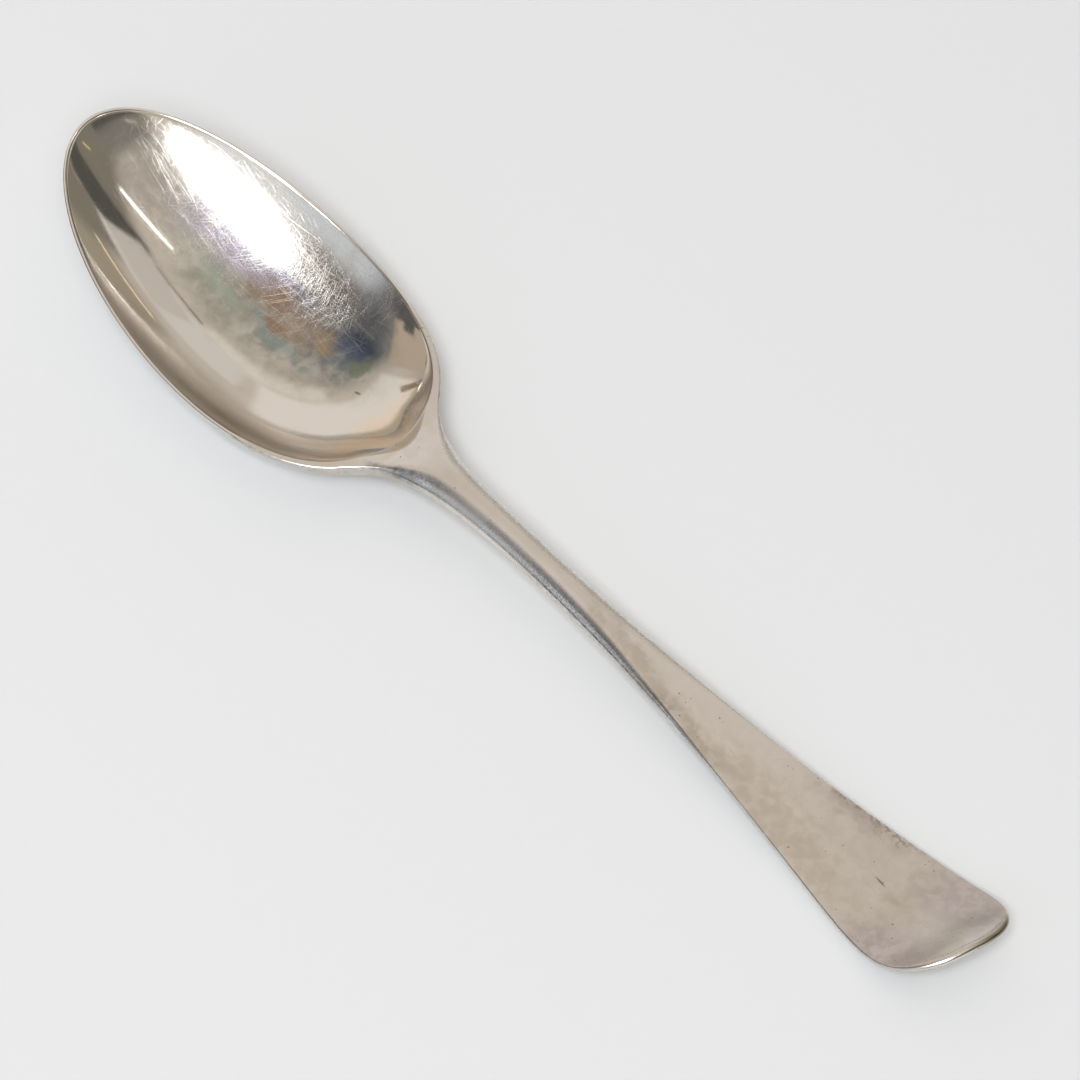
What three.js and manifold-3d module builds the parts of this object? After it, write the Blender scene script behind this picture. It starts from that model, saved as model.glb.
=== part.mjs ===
// A hand-made silver table spoon: a raised bowl, a forged stem and a heel drop, held together by solder.
// Millimetres. The pieces are modelled with x running from the tip of the bowl to the end of the handle,
// z up and the table at z = 0, and the whole spoon is then moved to stand over the middle of its length.
import * as THREE from "three";
import { mergeVertices } from "three/addons/utils/BufferGeometryUtils.js";
import Module from "manifold-3d";

// The whole spoon
const spoonLength = 200.4;
const solderGap = 0.3;
const wearDepth = 0.12;

// The bowl: outside length and width, depth of the hollow under the rim, wall, and the run of the rim
const bowlLength = 73.8;
const bowlWidth = 40.6;
const bowlDepth = 8.6;
const wallThickness = 1.1;
const rimWidth = 0.9;
const rimRise = 12.8;
const rimDip = 4;

// The form of the bowl: how far it is egg-shaped, how full its ends are, and its roundness across
const eggShape = 0.13;
const endFullness = 0.08;
const capRadius = 1.15;

// The collar, which the stem spreads into along both sides of the bowl's heel, ending in two thin wings
const collarLength = 28.8;
const collarWidth = 1;
const collarPower = 1.5;
const wingLength = 14.4;
const collarThickness = 1.2;
const collarEdge = 0.5;

// The stem seen from above: the shoulders' curve into the waist, the widths, and the round, slanted end
const shoulderDistance = 3.3;
const shoulderReach = 7.4;
const neckReach = 26;
const waistWidth = 5.8;
const waistDistance = 30.6;
const endWidth = 21;
const endRound = 9.2;
const endRoundPower = 2.5;
const endSlant = 0.22;
const endSlantLength = 50;

// The stem seen from the side: its rise behind the bowl, its crest, and the turned-up end
const riseStart = 7.8;
const crestDistance = 13.5;
const crestRise = 2.2;
const endLift = 6.2;
const endLiftLength = 18.7;
const endLiftPower = 2.4;

// The stem's thickness, and the width of the rounding under its edges
const neckDistance = 5;
const neckThickness = 4;
const waistThickness = 3.8;
const handleDistance = 30;
const handleThickness = 2;
const endThickness = 1.9;
const neckEdge = 1.4;
const waistEdge = 1.4;
const handleEdge = 2.4;

// The crown of the stem's upper face: an arc on each side, then a smaller arc round the edge
const collarCrown = 0.55;
const neckCrown = 3.7;
const waistCrown = 3.4;
const flatDistance = 81;
const handleCrown = 0.35;
const crownTurn = 58;
const collarCorner = 0.4;
const neckCorner = 1.5;
const waistCorner = 1.2;
const handleCorner = 0.3;

// The ridge along the upper face of the handle
const ridgeHeight = 0.5;
const ridgeLength = 75;
const ridgeFade = 50;

// How long the stem's curves stay level at their two ends, as a share of each curve
const flareEase = [0.55, 0.12];
const riseEase = [0.5, 0.5];
const fallEase = [0.45, 0.35];

// The drop, a tongue over the joint on the underside of the bowl and the stem
const dropReach = 14;
const dropTail = 9;
const dropWidth = 9;
const dropThickness = 0.9;
const dropEndThickness = 0.45;
const dropBlend = 3;

// How finely the surfaces are cut into facets
const bowlRings = 12;
const bowlSides = 64;
const neckStations = 24;
const handleStations = 20;
const endStations = 16;
const crownSteps = 5;
const cornerSteps = 4;
const underSteps = 4;
const dropStations = 14;
const dropSteps = 8;

const silver = { metalness: 1 };
const bowlMiddle = bowlLength / 2;
const shoulderPlace = bowlLength - shoulderDistance;
const waistPlace = bowlLength + waistDistance;
const flatPlace = bowlLength + flatDistance;
const crestPlace = bowlLength + crestDistance;
const risePlace = bowlLength - riseStart;
const collarPlace = bowlLength - collarLength;
const wingPlace = bowlLength - wingLength;
const widePlace = spoonLength - endRound;
const lowPlace = spoonLength - endLiftLength;

const wasm = await Module();
wasm.setup();

// A closed surface through rings of points, from one point before the first ring to one after the last
function loft(first, rings, last) {
  const count = rings[0].length;
  const points = [first, ...rings.flat(), last];
  const triangles = [];
  for (let side = 0; side < count; side += 1) {
    const next = (side + 1) % count;
    triangles.push(0, 1 + next, 1 + side);
    for (let ring = 0; ring < rings.length - 1; ring += 1) {
      const here = 1 + ring * count;
      const there = here + count;
      triangles.push(here + side, here + next, there + side);
      triangles.push(here + next, there + next, there + side);
    }
    const end = 1 + (rings.length - 1) * count;
    triangles.push(end + side, end + next, points.length - 1);
  }
  const geometry = new THREE.BufferGeometry().setFromPoints(points);
  geometry.setIndex(triangles);
  return geometry;
}

function toSolid(geometry) {
  const plain = geometry.clone();
  plain.deleteAttribute("normal");
  plain.deleteAttribute("uv");
  const merged = mergeVertices(plain);
  return new wasm.Manifold(new wasm.Mesh({
    numProp: 3,
    vertProperties: new Float32Array(merged.attributes.position.array),
    triVerts: new Uint32Array(merged.index.array),
  }));
}

function toGeometry(solid) {
  const mesh = solid.getMesh();
  const geometry = new THREE.BufferGeometry();
  geometry.setAttribute("position", new THREE.BufferAttribute(mesh.vertProperties, mesh.numProp));
  geometry.setIndex(new THREE.BufferAttribute(mesh.triVerts, 1));
  return geometry;
}

function spread(from, to, count) {
  return Array.from({ length: count + 1 }, (_, step) => from + ((to - from) * step) / count);
}

// A value that passes smoothly through stops, each a place and a value
function through(stops, place) {
  if (place <= stops[0][0]) return stops[0][1];
  for (let stop = 1; stop < stops.length; stop += 1) {
    const [from, before] = stops[stop - 1];
    const [to, after] = stops[stop];
    if (place <= to) return before + (after - before) * THREE.MathUtils.smoothstep(place, from, to);
  }
  return stops[stops.length - 1][1];
}

// The height of a curve that runs along x, read at a place between its ends
function readCurve(curve, place) {
  let low = 0;
  let high = 1;
  for (let halving = 0; halving < 40; halving += 1) {
    const middle = (low + high) / 2;
    if (curve.getPoint(middle).x < place) low = middle;
    else high = middle;
  }
  return curve.getPoint(low).y;
}

// A curve that leaves one point level and reaches another level, read at a place between them
function levelCurve(place, [fromPlace, from], [toPlace, to], [leave, arrive]) {
  const span = toPlace - fromPlace;
  const curve = new THREE.CubicBezierCurve(
    new THREE.Vector2(fromPlace, from),
    new THREE.Vector2(fromPlace + leave * span, from),
    new THREE.Vector2(toPlace - arrive * span, to),
    new THREE.Vector2(toPlace, to),
  );
  return readCurve(curve, place);
}

// The lower of two heights, rounded off where they are nearly alike
function blendedMin(one, other, blend) {
  const share = Math.max(blend - Math.abs(one - other), 0) / blend;
  return Math.min(one, other) - (share * share * blend) / 4;
}

// The rim's height over the level of its heel: it falls from the tip and dips between its ends
function rimHeight(x) {
  const along = (x - bowlMiddle) / bowlMiddle;
  return (rimRise * (1 - along)) / 2 - rimDip * (1 - along * along);
}

// The depth of a round cap, 1 in its middle and 0 at its rim, where distance is 1
function capDepth(distance) {
  const foot = Math.sqrt(capRadius ** 2 - 1);
  return (Math.sqrt(capRadius ** 2 - distance ** 2) - foot) / (capRadius - foot);
}

// A point of a bowl surface, drawn in from the outside by inset and depth deep under the rim
function bowlPoint(distance, angle, inset, depth, level) {
  const lengthwise = distance * Math.cos(angle);
  const along = (lengthwise + eggShape) / (1 + eggShape * lengthwise);
  const across = distance * Math.sin(angle) * (1 + endFullness * lengthwise ** 2);
  const x = bowlMiddle + (bowlMiddle - inset) * along;
  const y = (bowlWidth / 2 - inset) * across;
  return new THREE.Vector3(x, y, level + rimHeight(x) - depth * capDepth(distance));
}

function bowlRing(distance, inset, depth, level) {
  const angles = spread(0, 2 * Math.PI, bowlSides).slice(0, bowlSides);
  return angles.map((angle) => bowlPoint(distance, angle, inset, depth, level));
}

function bowlSurface(inset, depth, level) {
  const distances = spread(0, 1, bowlRings).slice(1);
  return distances.map((distance) => bowlRing(distance, inset, depth, level));
}

// The bowl stands so that its lowest point would be just under the table before it is worn flat there
const outsideDepth = bowlDepth + wallThickness;
const lowestPoint = Math.min(...bowlSurface(0, outsideDepth, 0).flat().map((point) => point.z));
const rimLevel = -lowestPoint - wearDepth;

// The height of the bowl's outside, grown by a gap, over the table at a place on the plan
function bowlUnderside(x, y, gap) {
  const along = (x - bowlMiddle) / (bowlMiddle + gap);
  const lengthwise = (along - eggShape) / (1 - eggShape * along);
  const across = y / ((bowlWidth / 2 + gap) * (1 + endFullness * lengthwise ** 2));
  const distance = Math.min(Math.hypot(lengthwise, across), 1);
  return rimLevel + rimHeight(x) - (outsideDepth + gap) * capDepth(distance);
}

// Half of the collar's width: the bowl's outline, grown more and more towards its heel
function collarHalfWidth(x) {
  const grown = collarWidth * Math.max((x - collarPlace) / collarLength, 0) ** collarPower;
  const along = THREE.MathUtils.clamp((x - bowlMiddle) / (bowlMiddle + grown), -1, 1);
  const lengthwise = (along - eggShape) / (1 - eggShape * along);
  const round = Math.sqrt(1 - lengthwise ** 2) * (1 + endFullness * lengthwise ** 2);
  return (bowlWidth / 2 + grown / 2) * round;
}

// The side of the shoulder, which leaves the collar along its outline and ends level at the waist
function shoulderCurve() {
  const start = new THREE.Vector2(shoulderPlace, collarHalfWidth(shoulderPlace));
  const step = shoulderReach / 1000;
  const ahead = new THREE.Vector2(shoulderPlace + step, collarHalfWidth(shoulderPlace + step));
  const heading = ahead.sub(start).setLength(shoulderReach);
  const waist = new THREE.Vector2(waistPlace, waistWidth / 2);
  const neck = new THREE.Vector2(waistPlace - neckReach, waistWidth / 2);
  return new THREE.CubicBezierCurve(start, start.clone().add(heading), neck, waist);
}

const shoulder = shoulderCurve();

// Half of the stem's width: collar, shoulder, flare and round end
function stemHalfWidth(x) {
  if (x < shoulderPlace) return collarHalfWidth(x);
  if (x < waistPlace) return readCurve(shoulder, x);
  if (x < widePlace) {
    return levelCurve(x, [waistPlace, waistWidth / 2], [widePlace, endWidth / 2], flareEase);
  }
  const share = Math.min((x - widePlace) / endRound, 1);
  return (endWidth / 2) * (1 - share ** endRoundPower) ** (1 / endRoundPower);
}

function stemThickness(x) {
  return through([
    [wingPlace, collarThickness],
    [bowlLength + neckDistance, neckThickness],
    [waistPlace, waistThickness],
    [spoonLength - handleDistance, handleThickness],
    [spoonLength, endThickness],
  ], x);
}

function stemEdge(x) {
  return through([
    [wingPlace, collarEdge],
    [bowlLength + neckDistance, neckEdge],
    [waistPlace, waistEdge],
    [spoonLength - handleDistance, handleEdge],
  ], x);
}

// The crown's arcs at a place: the large and the small radius, where there is room for them
function stemCrown(x) {
  const halfWidth = stemHalfWidth(x);
  const corner = through([
    [wingPlace, collarCorner],
    [bowlLength + neckDistance, neckCorner],
    [waistPlace, waistCorner],
    [flatPlace, handleCorner],
  ], x);
  const crown = through([
    [wingPlace, collarCrown],
    [bowlLength + neckDistance, neckCrown],
    [waistPlace, waistCrown],
    [flatPlace, handleCrown],
  ], x);
  const small = Math.min(corner, halfWidth);
  const large = Math.min(crown, small + (halfWidth - small) / Math.sin(THREE.MathUtils.degToRad(crownTurn)));
  return { small, large };
}

// The height of the stem's upper face along its middle
function stemTop(x) {
  const crest = [crestPlace, rimLevel + crestRise];
  const low = [lowPlace, stemThickness(lowPlace) - wearDepth];
  if (x < risePlace) return rimLevel + rimHeight(x);
  if (x < crestPlace) return levelCurve(x, [risePlace, rimLevel + rimHeight(risePlace)], crest, riseEase);
  if (x < lowPlace) return levelCurve(x, crest, low, fallEase);
  return low[1] + endLift * ((x - lowPlace) / endLiftLength) ** endLiftPower;
}

// One side of the stem's outline across its length, from the underside to the upper face: [y, height]
function stemSide(x) {
  const { small, large } = stemCrown(x);
  const turnDown = THREE.MathUtils.degToRad(crownTurn);
  const halfWidth = stemHalfWidth(x);
  const flat = halfWidth - small - (large - small) * Math.sin(turnDown);
  const widest = -large + (large - small) * Math.cos(turnDown);
  const edge = Math.min(stemEdge(x), halfWidth);
  const under = spread(-Math.PI / 2, 0, underSteps).slice(0, underSteps).map((turn) => (
    [halfWidth - edge + edge * Math.cos(turn), widest + (stemThickness(x) + widest) * Math.sin(turn)]
  ));
  const corner = spread(Math.PI / 2, turnDown, cornerSteps).slice(0, cornerSteps).map((turn) => (
    [halfWidth - small + small * Math.sin(turn), widest + small * Math.cos(turn)]
  ));
  const crown = spread(turnDown, 0, crownSteps).map((turn) => (
    [flat + large * Math.sin(turn), large * (Math.cos(turn) - 1)]
  ));
  return [...under, ...corner, ...crown];
}

// The stem's outline across its length: an upper face with its crown and ridge, and a lower face
function stemSection(x) {
  const thickness = stemThickness(x);
  const pastEnd = Math.max(x - (spoonLength - thickness / 2), 0) / (thickness / 2);
  const tipShare = Math.sqrt(1 - Math.min(pastEnd, 1) ** 2);
  const ridgePlace = spoonLength - ridgeLength;
  const ridge = ridgeHeight * THREE.MathUtils.smoothstep(x, ridgePlace, ridgePlace + ridgeFade);
  const slant = endSlant * THREE.MathUtils.smoothstep(x, spoonLength - endSlantLength, spoonLength);
  const right = stemSide(x);
  const left = right.map(([y, height]) => [-y, height]).reverse();
  const topEdge = left[0][0];
  const upper = [-topEdge / 2, 0, topEdge / 2].map((y) => [y, 0]);
  const underEdge = right[0][0];
  const lower = [-underEdge / 2, 0, underEdge / 2].map((y) => [y, -thickness]);
  return [...right, ...upper, ...left, ...lower].map(([y, height]) => {
    const raised = ridge * (1 - (2 * Math.abs(y)) / endWidth) * (1 + height / thickness);
    const level = -thickness / 2 + (thickness / 2 + height + raised) * tipShare;
    return new THREE.Vector3(x + slant * y, y, stemTop(x) + level);
  });
}

function tableBlock() {
  const block = new THREE.BoxGeometry(3 * spoonLength, spoonLength, spoonLength);
  return toSolid(block.translate(0, 0, -spoonLength / 2));
}

// The bowl: a raised shell, worn flat where it stands on the table
function bowl() {
  const outside = bowlSurface(0, outsideDepth, rimLevel);
  const inside = bowlSurface(rimWidth, bowlDepth, rimLevel).reverse();
  const bottom = bowlPoint(0, 0, 0, outsideDepth, rimLevel);
  const hollowBottom = bowlPoint(0, 0, rimWidth, bowlDepth, rimLevel);
  const shell = toSolid(loft(bottom, [...outside, ...inside], hollowBottom));
  return toGeometry(shell.subtract(tableBlock()));
}

// The room that the bowl takes up in the stem: its outside and everything over its rim
function bowlRoom() {
  const outside = bowlSurface(-solderGap, outsideDepth + solderGap, rimLevel);
  const bottom = bowlPoint(0, 0, -solderGap, outsideDepth + solderGap, rimLevel);
  const overRim = rimLevel + rimRise + crestRise;
  const wall = outside[outside.length - 1].map((point) => new THREE.Vector3(point.x, point.y, overRim));
  return toSolid(loft(bottom, [...outside, wall], new THREE.Vector3(bowlMiddle, 0, overRim)));
}

// The stem: a forged bar with its collar seated round the bowl's heel and a wide, turned-up end
function stem() {
  const roundTurns = spread(0, Math.PI / 2, endStations).slice(1, endStations);
  const stations = [
    ...spread(wingPlace, crestPlace, neckStations),
    ...spread(crestPlace, widePlace, handleStations).slice(1),
    ...roundTurns.map((turn) => widePlace + endRound * Math.sin(turn)),
  ];
  const start = new THREE.Vector3(stations[0], 0, stemTop(stations[0]) - stemThickness(stations[0]) / 2);
  const end = new THREE.Vector3(spoonLength, 0, stemTop(spoonLength) - endThickness / 2);
  const bar = toSolid(loft(start, stations.map(stemSection), end));
  return toGeometry(bar.subtract(bowlRoom()).subtract(tableBlock()));
}

// The drop: a tongue laid over the joint, against the bowl's back and the underside of the stem
function drop() {
  const from = bowlLength - dropReach;
  const to = bowlLength + dropTail;
  const thicknesses = [
    [from, dropEndThickness],
    [bowlLength - dropReach / 2, dropThickness],
    [bowlLength, dropThickness],
    [to, dropEndThickness],
  ];
  const underStem = (x) => stemTop(x) - stemThickness(x) - solderGap;
  const underBowl = (x, y) => bowlUnderside(x, y, solderGap);
  const section = (x) => {
    const round = Math.min((x - from) / (dropWidth / 2), 1);
    const widest = Math.min(dropWidth / 2, stemHalfWidth(x) - stemEdge(x));
    const halfWidth = widest * Math.sqrt(1 - (1 - round) ** 2);
    const thickness = through(thicknesses, x);
    const upper = spread(halfWidth, -halfWidth, dropSteps).map((y) => (
      new THREE.Vector3(x, y, Math.min(underBowl(x, y), underStem(x)))
    ));
    const lower = spread(-halfWidth, halfWidth, dropSteps).slice(1, dropSteps).map((y) => {
      const crown = Math.sqrt(1 - (y / halfWidth) ** 2);
      const seat = Math.min(underBowl(x, y), underStem(x));
      const level = blendedMin(underBowl(x, y), underStem(x), dropBlend) - thickness;
      return new THREE.Vector3(x, y, seat + (level - seat) * crown);
    });
    return [...upper, ...lower];
  };
  const turns = spread(0, Math.PI / 2, dropStations).slice(1);
  const stations = turns.map((turn) => from + (to - from) * (1 - Math.cos(turn)));
  const start = new THREE.Vector3(from, 0, underBowl(from, 0));
  const end = new THREE.Vector3(to, 0, underStem(to) - dropEndThickness / 2);
  return loft(start, stations.map(section), end);
}

function piece(name, geometry, color, roughness) {
  geometry.computeVertexNormals();
  const mesh = new THREE.Mesh(geometry, new THREE.MeshStandardMaterial({ ...silver, color, roughness }));
  mesh.name = name;
  return mesh;
}

const spoon = new THREE.Group();
spoon.add(piece("bowl", bowl(), 0xc9c3b8, 0.12));
spoon.add(piece("stem", stem(), 0xb8aa9b, 0.3));
spoon.add(piece("heel_drop", drop(), 0xb8aa9b, 0.3));

const box = new THREE.Box3().setFromObject(spoon);
spoon.position.x = -(box.min.x + box.max.x) / 2;

export default spoon;
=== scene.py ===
import math

import bmesh
import bpy
import numpy as np
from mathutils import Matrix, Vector


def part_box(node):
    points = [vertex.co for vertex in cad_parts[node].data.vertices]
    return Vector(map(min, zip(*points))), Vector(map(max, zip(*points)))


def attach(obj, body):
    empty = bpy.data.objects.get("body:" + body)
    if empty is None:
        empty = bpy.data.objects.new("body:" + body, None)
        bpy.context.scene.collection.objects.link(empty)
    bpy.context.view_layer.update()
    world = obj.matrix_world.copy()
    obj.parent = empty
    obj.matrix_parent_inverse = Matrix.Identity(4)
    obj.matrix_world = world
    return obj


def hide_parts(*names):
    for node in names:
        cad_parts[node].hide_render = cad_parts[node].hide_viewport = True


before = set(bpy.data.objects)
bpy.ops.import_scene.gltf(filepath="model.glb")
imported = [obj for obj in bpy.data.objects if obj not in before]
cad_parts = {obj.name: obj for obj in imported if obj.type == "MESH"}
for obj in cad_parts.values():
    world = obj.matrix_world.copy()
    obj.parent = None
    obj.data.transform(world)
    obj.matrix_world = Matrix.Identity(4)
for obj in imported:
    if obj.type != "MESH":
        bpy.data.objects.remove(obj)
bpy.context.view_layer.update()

# The bowl: raised from a sheet of silver by hammering, about 1 mm thick, and polished inside and out.
# Its egg-shaped rim climbs to the tip and is rounded by wear, and its back has worn flat on the table.
# The hollow has brown, violet and blue tarnish and the fine scratches of long polishing.
mm = 0.001
bowl_low, bowl_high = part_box("bowl")
tip = bowl_low.x
bowl_length = bowl_high.x - bowl_low.x
bowl_width = bowl_high.y - bowl_low.y
bowl_depth = 8.6 * mm
wall = 1.1 * mm
rim_width = 0.65 * mm
rim_round = 0.25 * mm
rim_rise = 12.8 * mm
rim_dip = 4 * mm
rim_level = bowl_high.z - rim_rise
egg_shape = 0.13
end_fullness = 0.08
cap_radius = 1.15
heel_dip = 0.9 * mm
heel_angle = math.radians(20)
hammer_marks = 0.012 * mm
hammer_spacing = 9 * mm


class Formula:
    """A number that runs through a node tree, so that a rule can be written as a plain sum."""

    def __init__(self, tree, socket):
        self.tree = tree
        self.socket = socket

    def math(self, operation, *others):
        node = self.tree.nodes.new("ShaderNodeMath")
        node.operation = operation
        for place, value in enumerate((self, *others)):
            connect(self.tree, value, node.inputs[place])
        return Formula(self.tree, node.outputs[0])

    def __add__(self, other):
        return self.math("ADD", other)

    def __sub__(self, other):
        return self.math("SUBTRACT", other)

    def __mul__(self, other):
        return self.math("MULTIPLY", other)

    def __truediv__(self, other):
        return self.math("DIVIDE", other)

    def __pow__(self, other):
        return self.math("POWER", other)

    def __rsub__(self, other):
        return self * -1 + other

    __radd__ = __add__
    __rmul__ = __mul__


def connect(tree, value, socket):
    if isinstance(value, Formula):
        value = value.socket
    if isinstance(value, bpy.types.NodeSocket):
        tree.links.new(value, socket)
    else:
        socket.default_value = value


def add_node(tree, kind, inputs=None, **settings):
    node = tree.nodes.new(kind)
    for name, value in settings.items():
        setattr(node, name, value)
    for name, value in (inputs or {}).items():
        connect(tree, value, node.inputs[name])
    return node


def raised_bowl_tree():
    """A node tree that bends a grid into the bowl: once round the rim, and from its back to its hollow."""
    tree = bpy.data.node_groups.new("raised_bowl", "GeometryNodeTree")
    tree.interface.new_socket("Geometry", in_out="OUTPUT", socket_type="NodeSocketGeometry")
    for name in (
        "Tip", "Length", "Width", "Depth", "Wall", "Rim width", "Rim round", "Rim level", "Rim rise",
        "Rim dip", "Egg shape", "End fullness", "Cap radius", "Heel dip", "Heel angle", "Hammer marks",
        "Hammer spacing",
    ):
        tree.interface.new_socket(name, in_out="INPUT", socket_type="NodeSocketFloat")
    tree.interface.new_socket("Finish", in_out="INPUT", socket_type="NodeSocketMaterial")
    given = tree.nodes.new("NodeGroupInput")
    size = {socket.name: Formula(tree, socket) for socket in given.outputs}
    steps_round, steps_across = 256, 128
    back_share, hollow_share = 0.44, 0.44
    grid = add_node(tree, "GeometryNodeMeshGrid", {
        "Size X": 1.0, "Size Y": 1.0, "Vertices X": steps_round + 1, "Vertices Y": steps_across + 1,
    })
    flat = tree.nodes.new("GeometryNodeInputPosition").outputs[0]
    split = add_node(tree, "ShaderNodeSeparateXYZ", {"Vector": flat})
    turn = (Formula(tree, split.outputs["X"]) + 0.5) * (2 * math.pi)
    walk = Formula(tree, split.outputs["Y"]) + 0.5
    distance = (walk / back_share).math("MINIMUM", (1 - walk) / hollow_share).math("MINIMUM", 1.0)
    rim_share = 1 - back_share - hollow_share
    over_rim = ((walk - back_share) / rim_share).math("MAXIMUM", 0.0).math("MINIMUM", 1.0)
    arch = (over_rim * math.pi).math("SINE")
    inset = size["Rim width"] * (1 - (over_rim * math.pi).math("COSINE")) * 0.5
    middle = size["Length"] * 0.5
    lengthwise = distance * turn.math("COSINE")
    along = (lengthwise + size["Egg shape"]) / (size["Egg shape"] * lengthwise + 1)
    across = distance * turn.math("SINE") * (size["End fullness"] * lengthwise * lengthwise + 1)
    run = (middle - inset) * along
    rim = size["Rim rise"] * (1 - run / middle) * 0.5 - size["Rim dip"] * (1 - (run / middle) ** 2.0)
    radius = size["Cap radius"]
    foot = (radius ** 2.0 - 1).math("SQRT")
    cap = ((radius ** 2.0 - distance * distance).math("SQRT") - foot) / (radius - foot)
    depth = size["Depth"] + size["Wall"] * (1 - over_rim)
    place_x = size["Tip"] + middle + run
    place_y = (size["Width"] * 0.5 - inset) * across
    plan = add_node(tree, "ShaderNodeCombineXYZ", {"X": place_x, "Y": place_y}).outputs[0]
    marks = add_node(tree, "ShaderNodeTexNoise", {
        "Vector": plan, "Scale": size["Hammer spacing"] ** -1.0, "Detail": 1.0,
    })
    dents = (Formula(tree, marks.outputs[0]) - 0.5) * 2 * size["Hammer marks"] * (1 - distance ** 4.0)
    heel_edge = size["Heel angle"].math("COSINE")
    heel = ((turn.math("COSINE") - heel_edge) / (1 - heel_edge)).math("MAXIMUM", 0.0) ** 2.0
    lowered = (size["Rim round"] * (1 - arch) + size["Heel dip"] * heel) * distance ** 8.0
    height = size["Rim level"] + rim - depth * cap - lowered + dents
    place = add_node(tree, "ShaderNodeCombineXYZ", {
        "X": place_x, "Y": place_y, "Z": height.math("MAXIMUM", 0.0),
    })
    made = add_node(tree, "GeometryNodeStoreNamedAttribute", {
        "Geometry": grid.outputs["Mesh"], "Name": "hollow", "Value": over_rim,
    })
    for step, inputs in (
        ("GeometryNodeSetPosition", {"Position": place.outputs[0]}),
        ("GeometryNodeMergeByDistance", {"Distance": 0.001 * mm}),
        ("GeometryNodeSetShadeSmooth", {}),
        ("GeometryNodeRealizeInstances", {}),
        ("GeometryNodeSetMaterial", {"Material": size["Finish"]}),
    ):
        made = add_node(tree, step, {"Geometry": made.outputs[0], **inputs})
    add_node(tree, "NodeGroupOutput", {"Geometry": made.outputs[0]})
    return tree


def made_by_nodes(name, tree, sizes):
    """A plain mesh object from a node tree and the values of its named inputs."""
    maker = bpy.data.objects.new(name + "_maker", bpy.data.meshes.new(name + "_maker"))
    bpy.context.scene.collection.objects.link(maker)
    modifier = maker.modifiers.new("maker", "NODES")
    modifier.node_group = tree
    for socket in tree.interface.items_tree:
        if socket.in_out == "INPUT":
            modifier[socket.identifier] = sizes[socket.name]
    maker.data.update()
    graph = bpy.context.evaluated_depsgraph_get()
    mesh = bpy.data.meshes.new_from_object(maker.evaluated_get(graph))
    maker.modifiers.remove(modifier)
    bpy.data.objects.remove(maker)
    mesh.name = name
    made = bpy.data.objects.new(name, mesh)
    bpy.context.scene.collection.objects.link(made)
    return made


def new_finish(name):
    """A material with only a metal shader: the material, its tree, the shader and a place in millimetres."""
    finish = bpy.data.materials.new(name)
    finish.use_nodes = True
    tree = finish.node_tree
    shader = tree.nodes["Principled BSDF"]
    shader.inputs["Metallic"].default_value = 1.0
    coordinates = tree.nodes.new("ShaderNodeTexCoord")
    place = add_node(tree, "ShaderNodeMapping", {
        "Vector": coordinates.outputs["Object"], "Scale": (1 / mm, 1 / mm, 1 / mm),
    })
    return finish, tree, shader, place.outputs[0]


def noise(tree, place, size, detail=2.0, distortion=0.0):
    """Cloudy patches of about that size in millimetres, from 0 to 1."""
    node = add_node(tree, "ShaderNodeTexNoise", {
        "Vector": place, "Scale": 1 / size, "Detail": detail, "Distortion": distortion,
    })
    return Formula(tree, node.outputs["Fac"])


def between(value, start, end):
    """0 before start and 1 past end, with a soft passage."""
    node = add_node(value.tree, "ShaderNodeMapRange", {
        "Value": value, "From Min": start, "From Max": end,
    }, interpolation_type="SMOOTHSTEP")
    return Formula(value.tree, node.outputs["Result"])


def mixed(tree, share, first, second):
    node = tree.nodes.new("ShaderNodeMix")
    node.data_type = "RGBA"
    connect(tree, share, node.inputs[0])
    connect(tree, first, node.inputs[6])
    connect(tree, second, node.inputs[7])
    return node.outputs[2]


def scratches(tree, place, heading, length, width, amount):
    """Straight marks that run one way over the plan: 1 along a mark and 0 beside it."""
    turned = add_node(tree, "ShaderNodeMapping", {"Vector": place, "Rotation": (0, 0, math.radians(heading))})
    drawn = add_node(tree, "ShaderNodeMapping", {
        "Vector": turned.outputs[0], "Scale": (1 / length, 1 / width, 0.02 / width),
    })
    cut = add_node(tree, "ShaderNodeTexNoise", {"Vector": drawn.outputs[0], "Scale": 1.0, "Detail": 1.0})
    return between(Formula(tree, cut.outputs["Fac"]), 0.78 - amount, 0.86 - amount)


def wandering(tree, place, size, reach):
    """A place that is moved about by cloudy patches, so that what is laid there gets an uneven edge."""
    drift = add_node(tree, "ShaderNodeTexNoise", {"Vector": place, "Scale": 1 / size, "Detail": 3.0})
    level = add_node(tree, "ShaderNodeVectorMath", {
        0: drift.outputs["Color"], 1: (0.5, 0.5, 0.5),
    }, operation="SUBTRACT")
    moved = add_node(tree, "ShaderNodeVectorMath", {
        0: level.outputs[0], 1: (2 * reach, 2 * reach, 2 * reach), 2: place,
    }, operation="MULTIPLY_ADD")
    return moved.outputs[0]


def near_spot(tree, place, centre, reach, turn=0.0):
    """1 at a place on the plan, given in millimetres, and 0 past its reach along and across a heading."""
    moved = add_node(tree, "ShaderNodeVectorMath", {0: place, 1: (*centre, 0)}, operation="SUBTRACT")
    turned = add_node(tree, "ShaderNodeMapping", {
        "Vector": moved.outputs[0], "Rotation": (0, 0, math.radians(-turn)),
    })
    drawn = add_node(tree, "ShaderNodeVectorMath", {
        0: turned.outputs[0], 1: (1 / reach[0], 1 / reach[1], 0),
    }, operation="MULTIPLY")
    length = add_node(tree, "ShaderNodeVectorMath", {0: drawn.outputs[0]}, operation="LENGTH")
    return 1 - between(Formula(tree, length.outputs["Value"]), 0.25, 1.0)


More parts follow.
